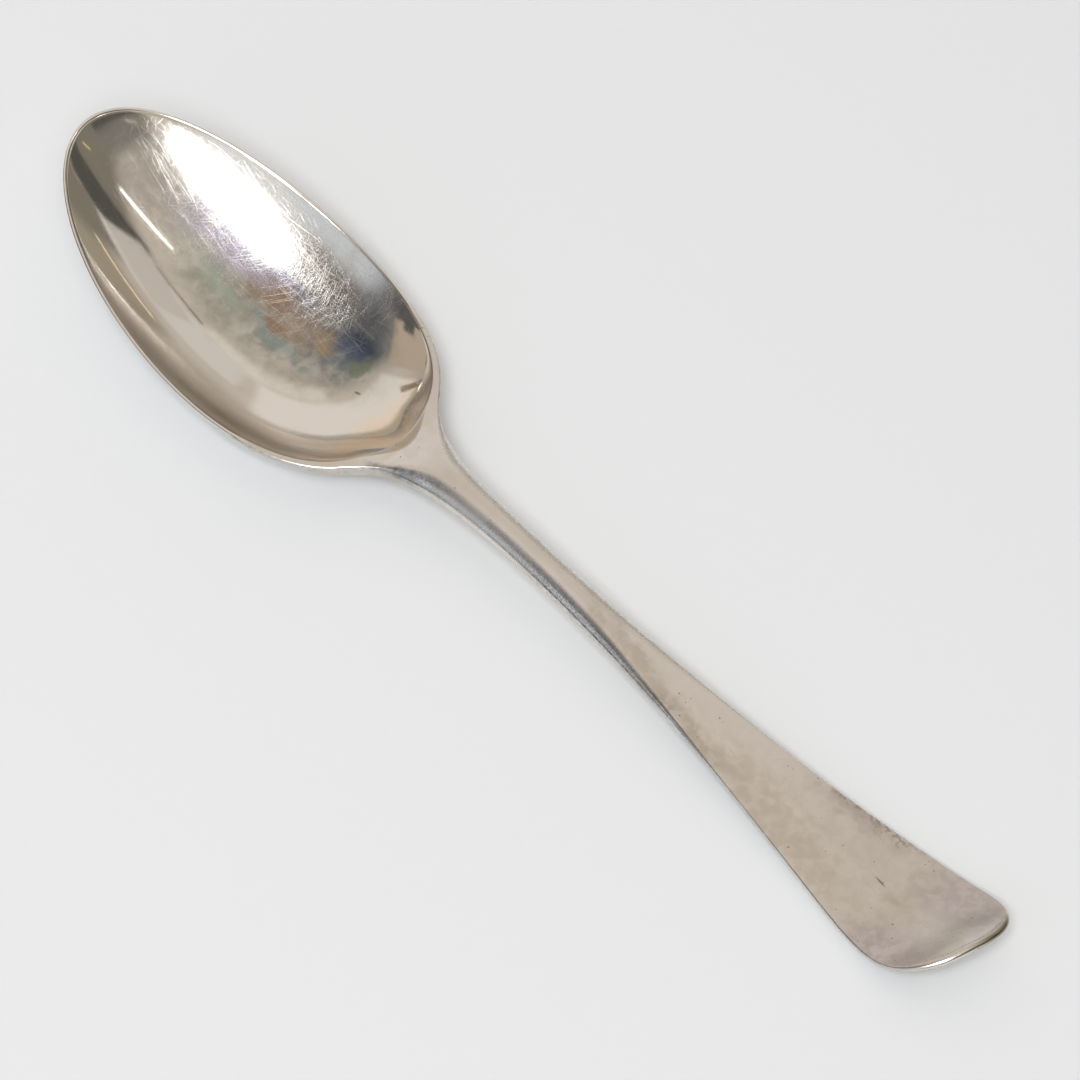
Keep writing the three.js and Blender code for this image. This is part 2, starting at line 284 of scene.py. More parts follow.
def polished_silver():
    finish, tree, shader, place = new_finish("polished_silver")
    clean = (0.90, 0.865, 0.815, 1)
    # Each tarnish patch: its colour, its place and its reach on the plan, its heading and how strong it is
    tarnish = [
        ((0.99, 0.82, 0.63, 1), (-31, 0), (7, 22), 0, 0.85),
        ((0.58, 0.55, 0.52, 1), (-85, 4), (14, 9), 10, 0.85),
        ((0.47, 0.48, 0.42, 1), (-71, 2.5), (15, 9.5), 0, 0.95),
        ((0.35, 0.35, 0.305, 1), (-58, 5), (23, 12), 8, 1.0),
        ((0.70, 0.61, 0.52, 1), (-58, 15), (12, 5), -10, 0.80),
        ((0.56, 0.53, 0.64, 1), (-75, 6.5), (14, 4), 12, 0.80),
        ((0.46, 0.45, 0.60, 1), (-64, 8), (10, 3.4), 10, 0.80),
        ((0.42, 0.52, 0.44, 1), (-71, 1.5), (7, 2.2), -5, 0.60),
        ((0.33, 0.245, 0.18, 1), (-60.5, 5.5), (13, 6), 5, 1.0),
        ((0.28, 0.37, 0.38, 1), (-59, 1.8), (11, 2), -2, 0.80),
        ((0.42, 0.42, 0.42, 1), (-48.5, 13), (5, 6.5), 0, 0.85),
        ((0.20, 0.24, 0.29, 1), (-49, 7.2), (9, 5.5), 10, 0.95),
        ((0.44, 0.32, 0.18, 1), (-52, 7.2), (5, 3), 0, 0.80),
        ((0.15, 0.19, 0.29, 1), (-47.6, 9.2), (5.4, 3.6), 20, 0.85),
        ((0.30, 0.37, 0.24, 1), (-45, 7.2), (3.2, 1.8), 0, 0.80),
    ]
    hollow = Formula(tree, add_node(tree, "ShaderNodeAttribute", attribute_name="hollow").outputs["Fac"])
    inside = between(hollow, 0.6, 1.0)
    drift = wandering(tree, place, 4, 3)
    clouds = between(noise(tree, place, 2.2, 5, 0.5), 0.34, 0.62)
    colour = clean
    for tint, centre, reach, turn, strength in tarnish:
        share = near_spot(tree, drift, centre, reach, turn) * inside * (clouds * 0.4 + 0.6) * strength
        colour = mixed(tree, share, colour, tint)
    # A brownish film dulls the wall on the near side, and polishing has worn the far half of the hollow
    film = near_spot(tree, place, (-59, -16.5), (34, 6.5), 5) * inside
    colour = mixed(tree, film * 0.8, colour, (0.44, 0.39, 0.325, 1))
    split = add_node(tree, "ShaderNodeSeparateXYZ", {"Vector": drift})
    along, across = (Formula(tree, split.outputs[name]) for name in ("X", "Y"))
    far_half = between(across, -3, 4) * (1 - between(along, -48.5, -45))
    worn = near_spot(tree, drift, (-68, 9.5), (38, 22), 8) * inside * far_half
    marks = scratches(tree, place, 4, 14, 0.09, 0.12)
    for heading, length in ((-10, 12), (14, 10), (62, 7), (95, 8), (125, 9)):
        marks = marks.math("MAXIMUM", scratches(tree, place, heading, length, 0.08, 0.105))
    strokes = scratches(tree, place, 74, 3, 0.11, 0.17)
    strokes = strokes.math("MAXIMUM", scratches(tree, place, 66, 4, 0.10, 0.15))
    strokes = strokes * near_spot(tree, drift, (-57, 11), (10, 5.5)) * inside
    dent = near_spot(tree, place, (-41.6, 4), (0.9, 0.35), 10) * inside
    cut = (marks * worn * 0.5).math("MAXIMUM", strokes * 0.8)
    colour = mixed(tree, cut, colour, clean)
    colour = mixed(tree, dent * 0.8, colour, (0.22, 0.20, 0.19, 1))
    connect(tree, colour, shader.inputs["Base Color"])
    speckle = noise(tree, place, 0.2, 3)
    mirror, worn_matt, film_matt, haze_matt, mark_matt = 0.05, 0.10, 0.14, 0.18, 0.05
    haze = between(speckle, 0.45, 0.62) * worn * haze_matt
    rough = mirror + worn * worn_matt + film * film_matt + haze + marks * (worn * 0.12 + mark_matt)
    connect(tree, rough, shader.inputs["Roughness"])
    bump = add_node(tree, "ShaderNodeBump", {
        "Height": marks * (worn * -0.4 - 0.08) - strokes * 0.5 + speckle * (worn * 0.45 + 0.03),
        "Strength": 0.5, "Distance": 0.02 * mm,
    })
    connect(tree, bump.outputs[0], shader.inputs["Normal"])
    return finish


bowl = made_by_nodes("spoon_bowl", raised_bowl_tree(), {
    "Tip": tip,
    "Length": bowl_length,
    "Width": bowl_width,
    "Depth": bowl_depth,
    "Wall": wall,
    "Rim width": rim_width,
    "Rim round": rim_round,
    "Rim level": rim_level,
    "Rim rise": rim_rise,
    "Rim dip": rim_dip,
    "Egg shape": egg_shape,
    "End fullness": end_fullness,
    "Cap radius": cap_radius,
    "Heel dip": heel_dip,
    "Heel angle": heel_angle,
    "Hammer marks": hammer_marks,
    "Hammer spacing": hammer_spacing,
    "Finish": polished_silver(),
})
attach(bowl, "root")
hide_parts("bowl")

# The stem: one bar of silver, forged into a collar that is soldered round the bowl's heel, a rounded neck
# and a flat handle that widens to a turned-up end with a low ridge on its upper face. Handling has left
# it satin, with small pits, stains and a polished rim round its end. Its colour also carries painted shade
# along the near edge and where the end tilts, and painted dark reflections along the neck and on the end.
# Widths and heights: the collar, the shoulders and the waist, then the handle and its end
spoon_length = 200.38 * mm
collar_length, collar_width, collar_power = 28.8 * mm, 1 * mm, 1.5
collar_thickness, collar_edge, wing_length = 1.2 * mm, 0.5 * mm, 14.4 * mm
shoulder_distance, shoulder_reach, neck_reach = 3.3 * mm, 7.4 * mm, 26 * mm
waist_width, waist_distance = 5.8 * mm, 30.6 * mm
end_width, end_round, end_round_power = 21 * mm, 9.2 * mm, 2.5
end_slant, end_slant_length = 0.22, 50 * mm
rise_start, crest_distance, crest_rise = 7.8 * mm, 13.5 * mm, 2.2 * mm
end_lift, end_lift_length, end_lift_power = 6.2 * mm, 18.7 * mm, 2.4
flare_ease, rise_ease, fall_ease = (0.55, 0.12), (0.5, 0.5), (0.45, 0.35)
ridge_height, ridge_length, ridge_fade = 0.5 * mm, 75 * mm, 50 * mm
wear_depth = 0.12 * mm
# Thicknesses, and the rounding of the lower edge
neck_distance, neck_thickness, neck_edge = 5 * mm, 4 * mm, 1.4 * mm
waist_thickness, waist_edge = 3.8 * mm, 1.4 * mm
handle_distance, handle_thickness, handle_edge, end_thickness = 30 * mm, 2 * mm, 2.4 * mm, 1.9 * mm
# The rounding of the upper edge: a large radius, the crown, and a small one, the corner
collar_crown, neck_crown, waist_crown = 0.42 * mm, 3.7 * mm, 3.4 * mm
handle_crown, end_crown, crown_blend = 0.25 * mm, 1.7 * mm, 1.2 * mm
collar_corner, neck_corner, waist_corner = 0.3 * mm, 1.5 * mm, 1.2 * mm
handle_corner, end_corner = 0.2 * mm, 0.8 * mm
crown_turn, crown_start, crown_full, flat_distance = math.radians(58), -1 * mm, 10.5 * mm, 81 * mm
# The collar's seat on the bowl: its lip round the hollow, its wings and the solder underneath
rim_cover, wing_sink, wing_sink_start = 0.03 * mm, 0.35 * mm, 3 * mm
lip_radius, lip_gap = 0.18 * mm, 0.04 * mm
heel_point, heel_fan, wing_tuck = 2.2 * mm, 6.5 * mm, 0.3 * mm
under_draw, wing_draw, wing_draw_turn = 0.86, 0.105, math.radians(35)
solder_fillet, solder_sink = 0.9 * mm, 0.2 * mm
wing_turn = math.radians(81)
# How finely the stem is divided, and where: round the rim, round the end and over the edge
wing_rows, neck_rows, handle_rows, end_rows = 48, 24, 90, 32
face_steps, edge_steps = 14, 18
wing_turns = wing_turn * (1 - np.linspace(0, 1, wing_rows))
end_turns = np.linspace(0, math.pi / 2, end_rows)[1:]
over_edge = np.linspace(0, math.pi / 2, edge_steps)[None]
joined = wing_rows + neck_rows - 1
# Places along the spoon, from the bowl's tip
bowl_middle = bowl_length / 2
collar_place = bowl_length - collar_length
wing_place = bowl_length - wing_length
shoulder_place = bowl_length - shoulder_distance
rise_place = bowl_length - rise_start
neck_place = bowl_length + neck_distance
crest_place = bowl_length + crest_distance
join_place = crest_place + 2 * mm
waist_place = bowl_length + waist_distance
flat_place = bowl_length + flat_distance
handle_place = spoon_length - handle_distance
low_place = spoon_length - end_lift_length
wide_place = spoon_length - end_round


def eased(place, start, end):
    share = np.clip((place - start) / (end - start), 0, 1)
    return share * share * (3 - 2 * share)


def through(place, stops):
    """A value that passes smoothly through stops, each a place and a value."""
    value = np.full_like(place, stops[0][1])
    for (start, before), (end, after) in zip(stops, stops[1:]):
        value = np.where(place > start, before + (after - before) * eased(place, start, end), value)
    return value


def read_curve(place, corners):
    """The height of a Bezier curve that runs along the spoon, at places between its ends."""
    share = np.linspace(0, 1, 500)[:, None]
    first, second, third, last = np.array(corners)
    curve = (
        (1 - share) ** 3 * first + 3 * (1 - share) ** 2 * share * second
        + 3 * (1 - share) * share**2 * third + share**3 * last
    )
    return np.interp(place, curve[:, 0], curve[:, 1])


def level_curve(place, start, end, ease):
    """A curve that leaves one point level and reaches another level."""
    span = end[0] - start[0]
    leave = (start[0] + ease[0] * span, start[1])
    reach = (end[0] - ease[1] * span, end[1])
    return read_curve(place, [start, leave, reach, end])


def blended_min(one, other, blend):
    share = np.clip(blend - np.abs(one - other), 0, None) / blend
    return np.minimum(one, other) - share**2 * blend / 4


def rim_height(place):
    along = place / bowl_middle - 1
    return rim_level + rim_rise * (1 - along) / 2 - rim_dip * (1 - along**2)


def egg_outline(angle, inset):
    """The bowl's rim, drawn in by an inset: how far along the spoon and how far to the side."""
    lengthwise = np.cos(angle)
    along = (lengthwise + egg_shape) / (1 + egg_shape * lengthwise)
    side = np.sin(angle) * (1 + end_fullness * lengthwise**2)
    return bowl_middle + (bowl_middle - inset) * along, (bowl_width / 2 - inset) * side


def bowl_surface(place, side, inset, depth):
    """The height of a surface of the bowl, drawn in from its outline and so deep under its rim."""
    along = np.clip((place - bowl_middle) / (bowl_middle - inset), -1.1, 1.1)
    lengthwise = (along - egg_shape) / (1 - egg_shape * along)
    across = side / ((bowl_width / 2 - inset) * (1 + end_fullness * lengthwise**2))
    distance = np.minimum(np.hypot(lengthwise, across), 0.99 * cap_radius)
    foot = math.sqrt(cap_radius**2 - 1)
    cap = (np.sqrt(cap_radius**2 - distance**2) - foot) / (cap_radius - foot)
    return rim_height(place) - depth * cap


def bowl_back(place, side, gap=0.0):
    return bowl_surface(place, side, -gap, bowl_depth + wall + gap)


def bowl_hollow(place, side):
    return bowl_surface(place, side, rim_width, bowl_depth)


def collar_half_width(place):
    grown = collar_width * np.clip((place - collar_place) / collar_length, 0, None) ** collar_power
    along = np.clip((place - bowl_middle) / (bowl_middle + grown), -1, 1)
    lengthwise = (along - egg_shape) / (1 - egg_shape * along)
    return (bowl_width / 2 + grown / 2) * np.sqrt(1 - lengthwise**2) * (1 + end_fullness * lengthwise**2)


def shoulder_half_width(place):
    start = np.array([shoulder_place, collar_half_width(shoulder_place)])
    ahead = shoulder_place + shoulder_reach / 1000
    heading = np.array([ahead, collar_half_width(ahead)]) - start
    leave = start + heading / np.linalg.norm(heading) * shoulder_reach
    return read_curve(place, [
        start, leave, (waist_place - neck_reach, waist_width / 2), (waist_place, waist_width / 2),
    ])


def stem_half_width(place):
    flare = level_curve(place, (waist_place, waist_width / 2), (wide_place, end_width / 2), flare_ease)
    return np.select(
        [place < shoulder_place, place < waist_place],
        [collar_half_width(place), shoulder_half_width(place)],
        flare,
    )


def stem_thickness(place):
    return through(place, [
        (wing_place, collar_thickness), (neck_place, neck_thickness), (waist_place, waist_thickness),
        (handle_place, handle_thickness), (spoon_length, end_thickness),
    ])


def stem_edge(place):
    return through(place, [
        (wing_place, collar_edge), (neck_place, neck_edge),
        (waist_place, waist_edge), (handle_place, handle_edge),
    ])


def stem_crown(place, room):
    """The large and the small radius that round the stem's upper edge, where there is room for them."""
    start, full = bowl_length + crown_start, bowl_length + crown_full
    large = through(place, [
        (start, collar_crown), (full, neck_crown), (waist_place, waist_crown), (flat_place, handle_crown),
    ])
    small = through(place, [
        (start, collar_corner), (full, neck_corner), (waist_place, waist_corner), (flat_place, handle_corner),
    ])
    small = np.minimum(small, room / 2)
    limit = small + (room - small) / math.sin(crown_turn)
    return np.maximum(blended_min(large, limit, crown_blend), small), small


def stem_top(place):
    """The height of the stem's upper face along its middle."""
    heel_height = rim_height(bowl_length)
    crest = (crest_place, heel_height + crest_rise)
    low = (low_place, float(stem_thickness(np.array(low_place))) - wear_depth)
    lift = end_lift * (np.clip(place - low_place, 0, None) / end_lift_length) ** end_lift_power
    return np.select(
        [place < rise_place, place < crest_place, place < low_place],
        [
            rim_height(place),
            level_curve(place, (rise_place, rim_height(rise_place)), crest, rise_ease),
            level_curve(place, crest, low, fall_ease),
        ],
        low[1] + lift,
    )


def covered_top(place):
    """The upper face lies just over the bowl's rim and sinks under it where the collar's wings run out."""
    sunk = wing_sink * (1 - eased(place, collar_place + wing_sink_start, wing_place))
    return stem_top(place) + rim_cover - sunk


def ridge_rise(place, side):
    start = spoon_length - ridge_length
    slope = np.clip(1 - np.abs(side) / (end_width / 2), 0, 1)
    return ridge_height * eased(place, start, start + ridge_fade) * slope


def heel_share(turn):
    """How near the heel a turn round the rim is: 1 at the heel and 0 past the heel's angle."""
    edge = math.cos(heel_angle)
    return (np.clip(np.cos(turn) - edge, 0, None) / (1 - edge)) ** 2


def stem_outline():
    """The widest line of one half of the stem on the plan, from the wing's tip to the end, with normals."""
    share = np.linspace(0, 1, wing_rows)
    wing_out = egg_outline(wing_turns, rim_width - lip_radius)[0] + heel_fan * share**2
    neck_out = np.linspace(wing_out[-1], join_place, neck_rows)[1:]
    handle_out = np.linspace(join_place, wide_place, handle_rows)[1:]
    place = np.concatenate([wing_out, neck_out, handle_out])
    half = stem_half_width(place) - wing_tuck * (1 - eased(place, collar_place, wing_place))
    slope = np.gradient(half, place)
    normal = np.stack([-slope, np.ones_like(slope)], -1) / np.hypot(slope, 1)[:, None]
    end_place = np.sin(end_turns) ** (2 / end_round_power)
    end_half = np.cos(end_turns).clip(0) ** (2 / end_round_power)
    end_normal = np.stack([
        end_place ** (end_round_power - 1) / end_round, end_half ** (end_round_power - 1) / (end_width / 2),
    ], -1)
    end_normal /= np.linalg.norm(end_normal, axis=-1, keepdims=True)
    outline = np.concatenate([
        np.stack([place, half], -1),
        np.stack([wide_place + end_round * end_place, end_width / 2 * end_half], -1),
    ])
    return outline, np.concatenate([normal, end_normal])


def face_starts(count):
    """Where the upper face and the underside begin: on the hollow's edge and under the bowl, then midway."""
    hollow_place, hollow_side = egg_outline(wing_turns, rim_width - lip_radius)
    upper, under = np.zeros((count, 2)), np.zeros((count, 2))
    upper[:wing_rows] = np.stack([hollow_place + heel_point * heel_share(wing_turns), hollow_side], -1)
    drawn_in = under_draw + wing_draw * eased(wing_turns, wing_draw_turn, wing_turn)[:, None]
    middle = [bowl_middle, 0]
    under[:wing_rows] = (np.stack(egg_outline(wing_turns, 0), -1) - middle) * drawn_in + middle
    for begin in (upper, under):
        begin[wing_rows:joined, 0] = np.linspace(begin[wing_rows - 1, 0], join_place, neck_rows)[1:]
    return upper, under


def edge_rounding(outline, upper_start):
    """How far the edge is drawn in and falls: over two arcs to the widest place, and back in over a third."""
    place = outline[:, :1]
    sides = len(outline) - len(end_turns)
    face_width = np.linalg.norm(outline - upper_start, axis=-1)
    room = np.concatenate([
        0.85 * face_width[:wing_rows], outline[wing_rows:sides, 1], np.full(len(end_turns), end_round),
    ])[:, None]
    large, small = stem_crown(place, room)
    at_end = np.concatenate([np.zeros(sides), eased(end_turns, 0.2, 1.1)])[:, None]
    large += (end_crown - large) * at_end
    small += (end_corner - small) * at_end
    crowned = over_edge <= crown_turn
    face_inset = small + (large - small) * math.sin(crown_turn)
    widest = large - (large - small) * math.cos(crown_turn)
    upper_inset = np.where(crowned, face_inset - large * np.sin(over_edge), small * (1 - np.sin(over_edge)))
    upper_fall = np.where(crowned, large * (1 - np.cos(over_edge)), widest - small * np.cos(over_edge))
    under_inset = stem_edge(place) * (1 - np.cos(over_edge[:, 1:]))
    under_fall = widest + (stem_thickness(place) - widest) * np.sin(over_edge[:, 1:])
    return np.concatenate([upper_inset, under_inset], 1), np.concatenate([upper_fall, under_fall], 1)


def hollow_lip(face_edge, under_edge):
    """The lip of the hollow: from inside the bowl's wall up to the rim, over a rounding and up a slope."""
    near_heel = heel_share(wing_turns)
    wall_steps = np.linspace(0, 1, 9)[1:, None]
    slope_steps = np.array([0.02, 0.1, 0.5, 0.9])[:, None]
    bend = np.linspace(0, math.pi / 2, 5)[1:]
    hollow_place, hollow_side = egg_outline(wing_turns, rim_width - lip_radius)
    top = covered_top(hollow_place) - heel_dip * near_heel
    wall_end = np.stack(egg_outline(wing_turns, rim_width / 2), -1)
    in_wall = under_edge[:, None] + (wall_end - under_edge)[:, None] * wall_steps
    wall_run, wall_side = in_wall[..., 0], in_wall[..., 1]
    wall_height = (bowl_back(wall_run, wall_side) + bowl_hollow(wall_run, wall_side)) / 2
    wall_height -= heel_dip * near_heel[:, None] * (under_draw + 0.13 * wall_steps[:, 0]) ** 8
    wall_height = np.minimum(wall_height, top[:, None] - 2 * lip_radius)
    insets = (rim_width - lip_radius + lip_gap + lip_radius * np.sin(bend))[::-1]
    lip = np.stack([np.stack(egg_outline(wing_turns, inset), -1) for inset in insets], 1)
    lip_height = top[:, None] - lip_radius * (1 - np.cos(bend))[::-1][None]
    lip_edge = np.stack([hollow_place, hollow_side, top], -1)[:, None]
    return np.concatenate([
        np.concatenate([in_wall, wall_height[..., None]], -1),
        np.concatenate([lip, lip_height[..., None]], -1),
        lip_edge + (face_edge - lip_edge) * slope_steps,
    ], 1)


def stem_rows():
    """One half of the stem as rows of points: over the upper face, round the edge and back underneath."""
    outline, normal = stem_outline()
    upper_start, under_start = face_starts(len(outline))
    inset, fall = edge_rounding(outline, upper_start)
    rounded = outline[:, None] - normal[:, None] * inset[..., None]
    rounded[-1, :, 1] = 0
    upper_start[joined:, 0] = rounded[joined:, 0, 0]
    under_start[joined:, 0] = rounded[joined:, -1, 0]
    steps = np.linspace(0, 1, face_steps)[None, :, None]
    upper = upper_start[:, None] + (rounded[:, 0] - upper_start)[:, None] * steps
    under = rounded[:, -1:] + (under_start - rounded[:, -1])[:, None] * steps
    plan = np.concatenate([upper[:, :-1], rounded, under[:, 1:]], 1)
    run, side = plan[..., 0], plan[..., 1]
    thickness = stem_thickness(run)
    flat = np.zeros(face_steps - 1)
    drop = np.zeros_like(run)
    drop[:, face_steps - 1:1 - face_steps] = fall
    drop[:, -face_steps:] = thickness[:, -face_steps:]
    height = covered_top(run) - drop
    height += ridge_rise(run, side) * np.clip(1 - drop / thickness, 0, 1)
    # Underneath, the collar flows into the bowl's back over a fillet of solder
    back = bowl_back(run, side)
    sunk = solder_sink * eased(height - back, solder_fillet, 3 * solder_fillet)
    soldered = blended_min(height, back, solder_fillet) + sunk
    beneath = np.zeros_like(height, bool)
    beneath[:, -face_steps:] = run[:, -face_steps:] < bowl_length
    height = np.where(beneath, soldered, height).clip(0)
    points = np.stack([run, side, height], -1)
    lips = hollow_lip(points[:wing_rows, :1], under_start[:wing_rows])
    over, back_in = over_edge[0], over_edge[0, 1:]
    polish = np.concatenate([flat, np.sin(over), np.cos(back_in), flat])
    below = np.concatenate([flat, np.zeros(edge_steps), eased(back_in, 0, 0.2), flat + 1])
    return points, lips, np.broadcast_to(polish, run.shape), np.broadcast_to(below, run.shape)


def closed_mesh(name, corners, faces, marks):
    """A smooth mesh with its doubles merged, its faces turned outwards and a value for each mark."""
    closeness = 0.0005 * mm
    mesh = bpy.data.meshes.new(name)
    mesh.from_pydata(corners, [], faces)
    for mark, values in marks.items():
        mesh.attributes.new(mark, "FLOAT", "POINT").data.foreach_set("value", values)
    shaped = bmesh.new()
    shaped.from_mesh(mesh)
    bmesh.ops.remove_doubles(shaped, verts=shaped.verts, dist=closeness)
    bmesh.ops.dissolve_degenerate(shaped, edges=shaped.edges, dist=closeness)
    bmesh.ops.recalc_face_normals(shaped, faces=shaped.faces)
    for face in shaped.faces:
        face.smooth = True
    shaped.to_mesh(mesh)
    shaped.free()
    return mesh


def stem_mesh(name):
    points, lips, polish, below = stem_rows()
    lip_steps = lips.shape[1]
    rows, columns = points.shape[:2]
    tips = points[0].mean(0)
    points[0] = tips
    lips[0] = tips
    slide = end_slant * eased(points[..., 0], spoon_length - end_slant_length, spoon_length) * points[..., 1]
    corners, quads, shine, under = [], [], [], []
    for side in (1, -1):
        here = len(corners)
        slid = points[..., 0] + side * slide
        half = np.stack([tip + slid, side * points[..., 1], points[..., 2]], -1)
        lip = np.stack([tip + lips[..., 0], side * lips[..., 1], lips[..., 2]], -1)
        corners += half.reshape(-1, 3).tolist() + lip.reshape(-1, 3).tolist()
        shine += polish.reshape(-1).tolist() + [0.0] * (wing_rows * lip_steps)
        under += below.reshape(-1).tolist() + [0.0] * (wing_rows * lip_steps)
        there = here + rows * columns
        for row in range(rows - 1):
            for column in range(columns - 1):
                low = here + row * columns + column
                quads.append((low, low + 1, low + 1 + columns, low + columns))
        for row in range(wing_rows - 1):
            for step in range(lip_steps - 1):
                low = there + row * lip_steps + step
                quads.append((low, low + 1, low + 1 + lip_steps, low + lip_steps))
            lip_end, face_start = there + row * lip_steps + lip_steps - 1, here + row * columns
            quads.append((lip_end, face_start, face_start + columns, lip_end + lip_steps))
            lip_start, under_end = there + row * lip_steps, here + row * columns + columns - 1
            quads.append((under_end, lip_start, lip_start + lip_steps, under_end + columns))
    return closed_mesh(name, corners, quads, {"polish": shine, "under": under})


def pitted(tree, place, spacing, size, share):
    """Round pits scattered over a surface: 1 in a pit and 0 beside it."""
    cells = add_node(tree, "ShaderNodeTexVoronoi", {"Vector": place, "Scale": 1 / spacing, "Randomness": 1.0})
    chosen = add_node(tree, "ShaderNodeSeparateColor", {"Color": cells.outputs["Color"]})
    pick, width = (Formula(tree, chosen.outputs[name]) for name in ("Red", "Green"))
    reach = (width * 0.6 + 0.4) * (size / spacing)
    depth = 1 - between(Formula(tree, cells.outputs["Distance"]) / reach, 0.4, 1.0)
    return depth * between(share - pick, 0.0, 0.02)


def satin_silver():
    finish, tree, shader, place = new_finish("satin_silver")
    handled = (0.83, 0.79, 0.75, 1)
    dull = (0.72, 0.68, 0.61, 1)
    pit_and_gap_shade_colour = (0.24, 0.20, 0.165, 1)
    # Each stain or patch of painted shade: its colour, its place and its reach on the plan, its heading and
    # how strong it is
    stains_and_painted_shade = [
        ((0.70, 0.65, 0.60, 1), (84, 0), (40, 16), 0, 0.6),
        # Painted shade along the waist's near edge, where the gentle rounding mirrors darker
        ((0.53, 0.48, 0.42, 1), (36, -2.6), (30, 3.2), -6, 1.0),
        # The next three rows: painted shade where the turned-up end tilts and mirrors darker, the side ones
        # purplish
        ((0.68, 0.63, 0.59, 1), (90, 0), (8, 18), 10, 0.85),
        ((0.57, 0.51, 0.515, 1), (88, -8), (11, 6), 15, 0.95),
        ((0.58, 0.525, 0.525, 1), (91, 6.5), (12, 7), 0, 0.95),
        ((0.62, 0.58, 0.50, 1), (84, 0.3), (4, 2), 30, 0.8),
        ((0.60, 0.54, 0.51, 1), (70, 6.4), (13, 2.4), 8, 0.9),
        ((0.64, 0.58, 0.50, 1), (62, -4), (26, 7), -6, 0.9),
        ((0.70, 0.64, 0.57, 1), (28, -1.5), (14, 1.8), 0, 0.7),
        ((0.94, 0.905, 0.875, 1), (-24, -3), (9, 11), 0, 0.9),
        ((0.80, 0.67, 0.50, 1), (-26.6, 0), (2.0, 6.5), 0, 0.9),
        # Painted dark reflection where the dark band along the neck begins, on the collar's near edge
        ((0.24, 0.235, 0.23, 1), (-22.8, -5.7), (6, 1.8), 20, 1.0),
    ]
    polish = Formula(tree, add_node(tree, "ShaderNodeAttribute", attribute_name="polish").outputs["Fac"])
    under = Formula(tree, add_node(tree, "ShaderNodeAttribute", attribute_name="under").outputs["Fac"])
    drift = wandering(tree, place, 4, 2.5)
    clouds = between(noise(tree, place, 9, 5, 0.4), 0.36, 0.66)
    blotches = between(noise(tree, place, 2.0, 5, 0.5), 0.38, 0.62)
    colour = mixed(tree, clouds * 0.4 + blotches * 0.18, handled, dull)
    for tint, centre, reach, turn, strength in stains_and_painted_shade:
        share = near_spot(tree, drift, centre, reach, turn) * (blotches * 0.5 + 0.5) * strength
        colour = mixed(tree, share, colour, tint)
    colour = mixed(tree, under * (blotches * 0.3 + 0.6), colour, (0.60, 0.54, 0.465, 1))
    # Specks gather along the far edge of the handle, and pits are scattered everywhere else
    specks = between(noise(tree, place, 0.7, 4), 0.46, 0.58)
    far_edge = near_spot(tree, drift, (72, 7.6), (14, 1.6), 8) * specks
    crowd = between(noise(tree, place, 12, 3), 0.42, 0.66)
    neck_pits = near_spot(tree, place, (-14, -1), (22, 8))
    pits = pitted(tree, place, 0.9, 0.22, crowd * 0.25 + far_edge * 0.5 + neck_pits * 0.16 + 0.03)
    pits = pits.math("MAXIMUM", pitted(tree, place, 4.1, 0.40, crowd * 0.3 + 0.06))
    # A nick on the handle, and painted shade in the dark gap where the far wing meets the bowl's rim
    nick_and_gap_shade = near_spot(tree, place, (79.7, 0.4), (1.5, 0.28), -6)
    nick_and_gap_shade = nick_and_gap_shade.math("MAXIMUM", near_spot(tree, place, (-29.1, 10.4), (1.4, 0.4), -53))
    hairs = scratches(tree, place, 8, 5, 0.09, 0.10) * between(noise(tree, place, 6, 2), 0.5, 0.62)
    dark = pits * 0.8
    for mark in (nick_and_gap_shade * 0.8, far_edge * 0.55, hairs * 0.35):
        dark = dark.math("MAXIMUM", mark)
    colour = mixed(tree, dark, colour, pit_and_gap_shade_colour)
    # The rounded near side of the neck is smoother and carries a painted dark reflection, a darker band; the
    # far end has a polished facet
    along = Formula(tree, add_node(tree, "ShaderNodeSeparateXYZ", {"Vector": place}).outputs["X"])
    band = between(polish, 0.15, 0.7) * (1 - under) * (1 - between(along, 40, 65))
    flecks = between(noise(tree, place, 0.34, 3), 0.42, 0.60)
    satin_neck = near_spot(tree, place, (-6, -3), (15, 6))
    painted_dark_band = band * (1 - flecks) * (0.5 - satin_neck * 0.42)
    colour = mixed(tree, painted_dark_band, colour, (0.28, 0.29, 0.31, 1))
    # Painted dark reflection on the polished facet of the far end
    painted_end_reflection = near_spot(tree, place, (99.4, 5), (3.5, 7.5), -12) * between(polish, 0.2, 0.7) * (1 - under)
    colour = mixed(tree, painted_end_reflection, colour, (0.30, 0.28, 0.215, 1))
    connect(tree, colour, shader.inputs["Base Color"])
    grain = noise(tree, place, 0.26, 3)
    satin, cloud_matt, edge_shine, grain_matt, pit_matt = 0.29, 0.05, 0.19, 0.10, 0.2
    shine = polish * (edge_shine - satin_neck * 0.14)
    rough = satin + clouds * cloud_matt - shine + (grain - 0.5) * grain_matt + dark * pit_matt
    connect(tree, rough, shader.inputs["Roughness"])
    rubbed = scratches(tree, place, 38, 3, 0.10, 0.12)
    rubbed = rubbed.math("MAXIMUM", scratches(tree, place, -20, 4, 0.08, 0.11))
    raised = grain * (band * 1.1 + 0.35) + flecks * band * 0.4 + noise(tree, place, 1.6, 3) * 0.9
    bump = add_node(tree, "ShaderNodeBump", {
        "Height": raised - dark * 0.8 - rubbed * 0.3, "Strength": 0.5, "Distance": 0.015 * mm,
    })
    connect(tree, bump.outputs[0], shader.inputs["Normal"])
    return finish


stem = bpy.data.objects.new("spoon_stem", stem_mesh("spoon_stem"))
bpy.context.scene.collection.objects.link(stem)
satin = satin_silver()
stem.data.materials.append(satin)
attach(stem, "root")
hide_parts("stem")

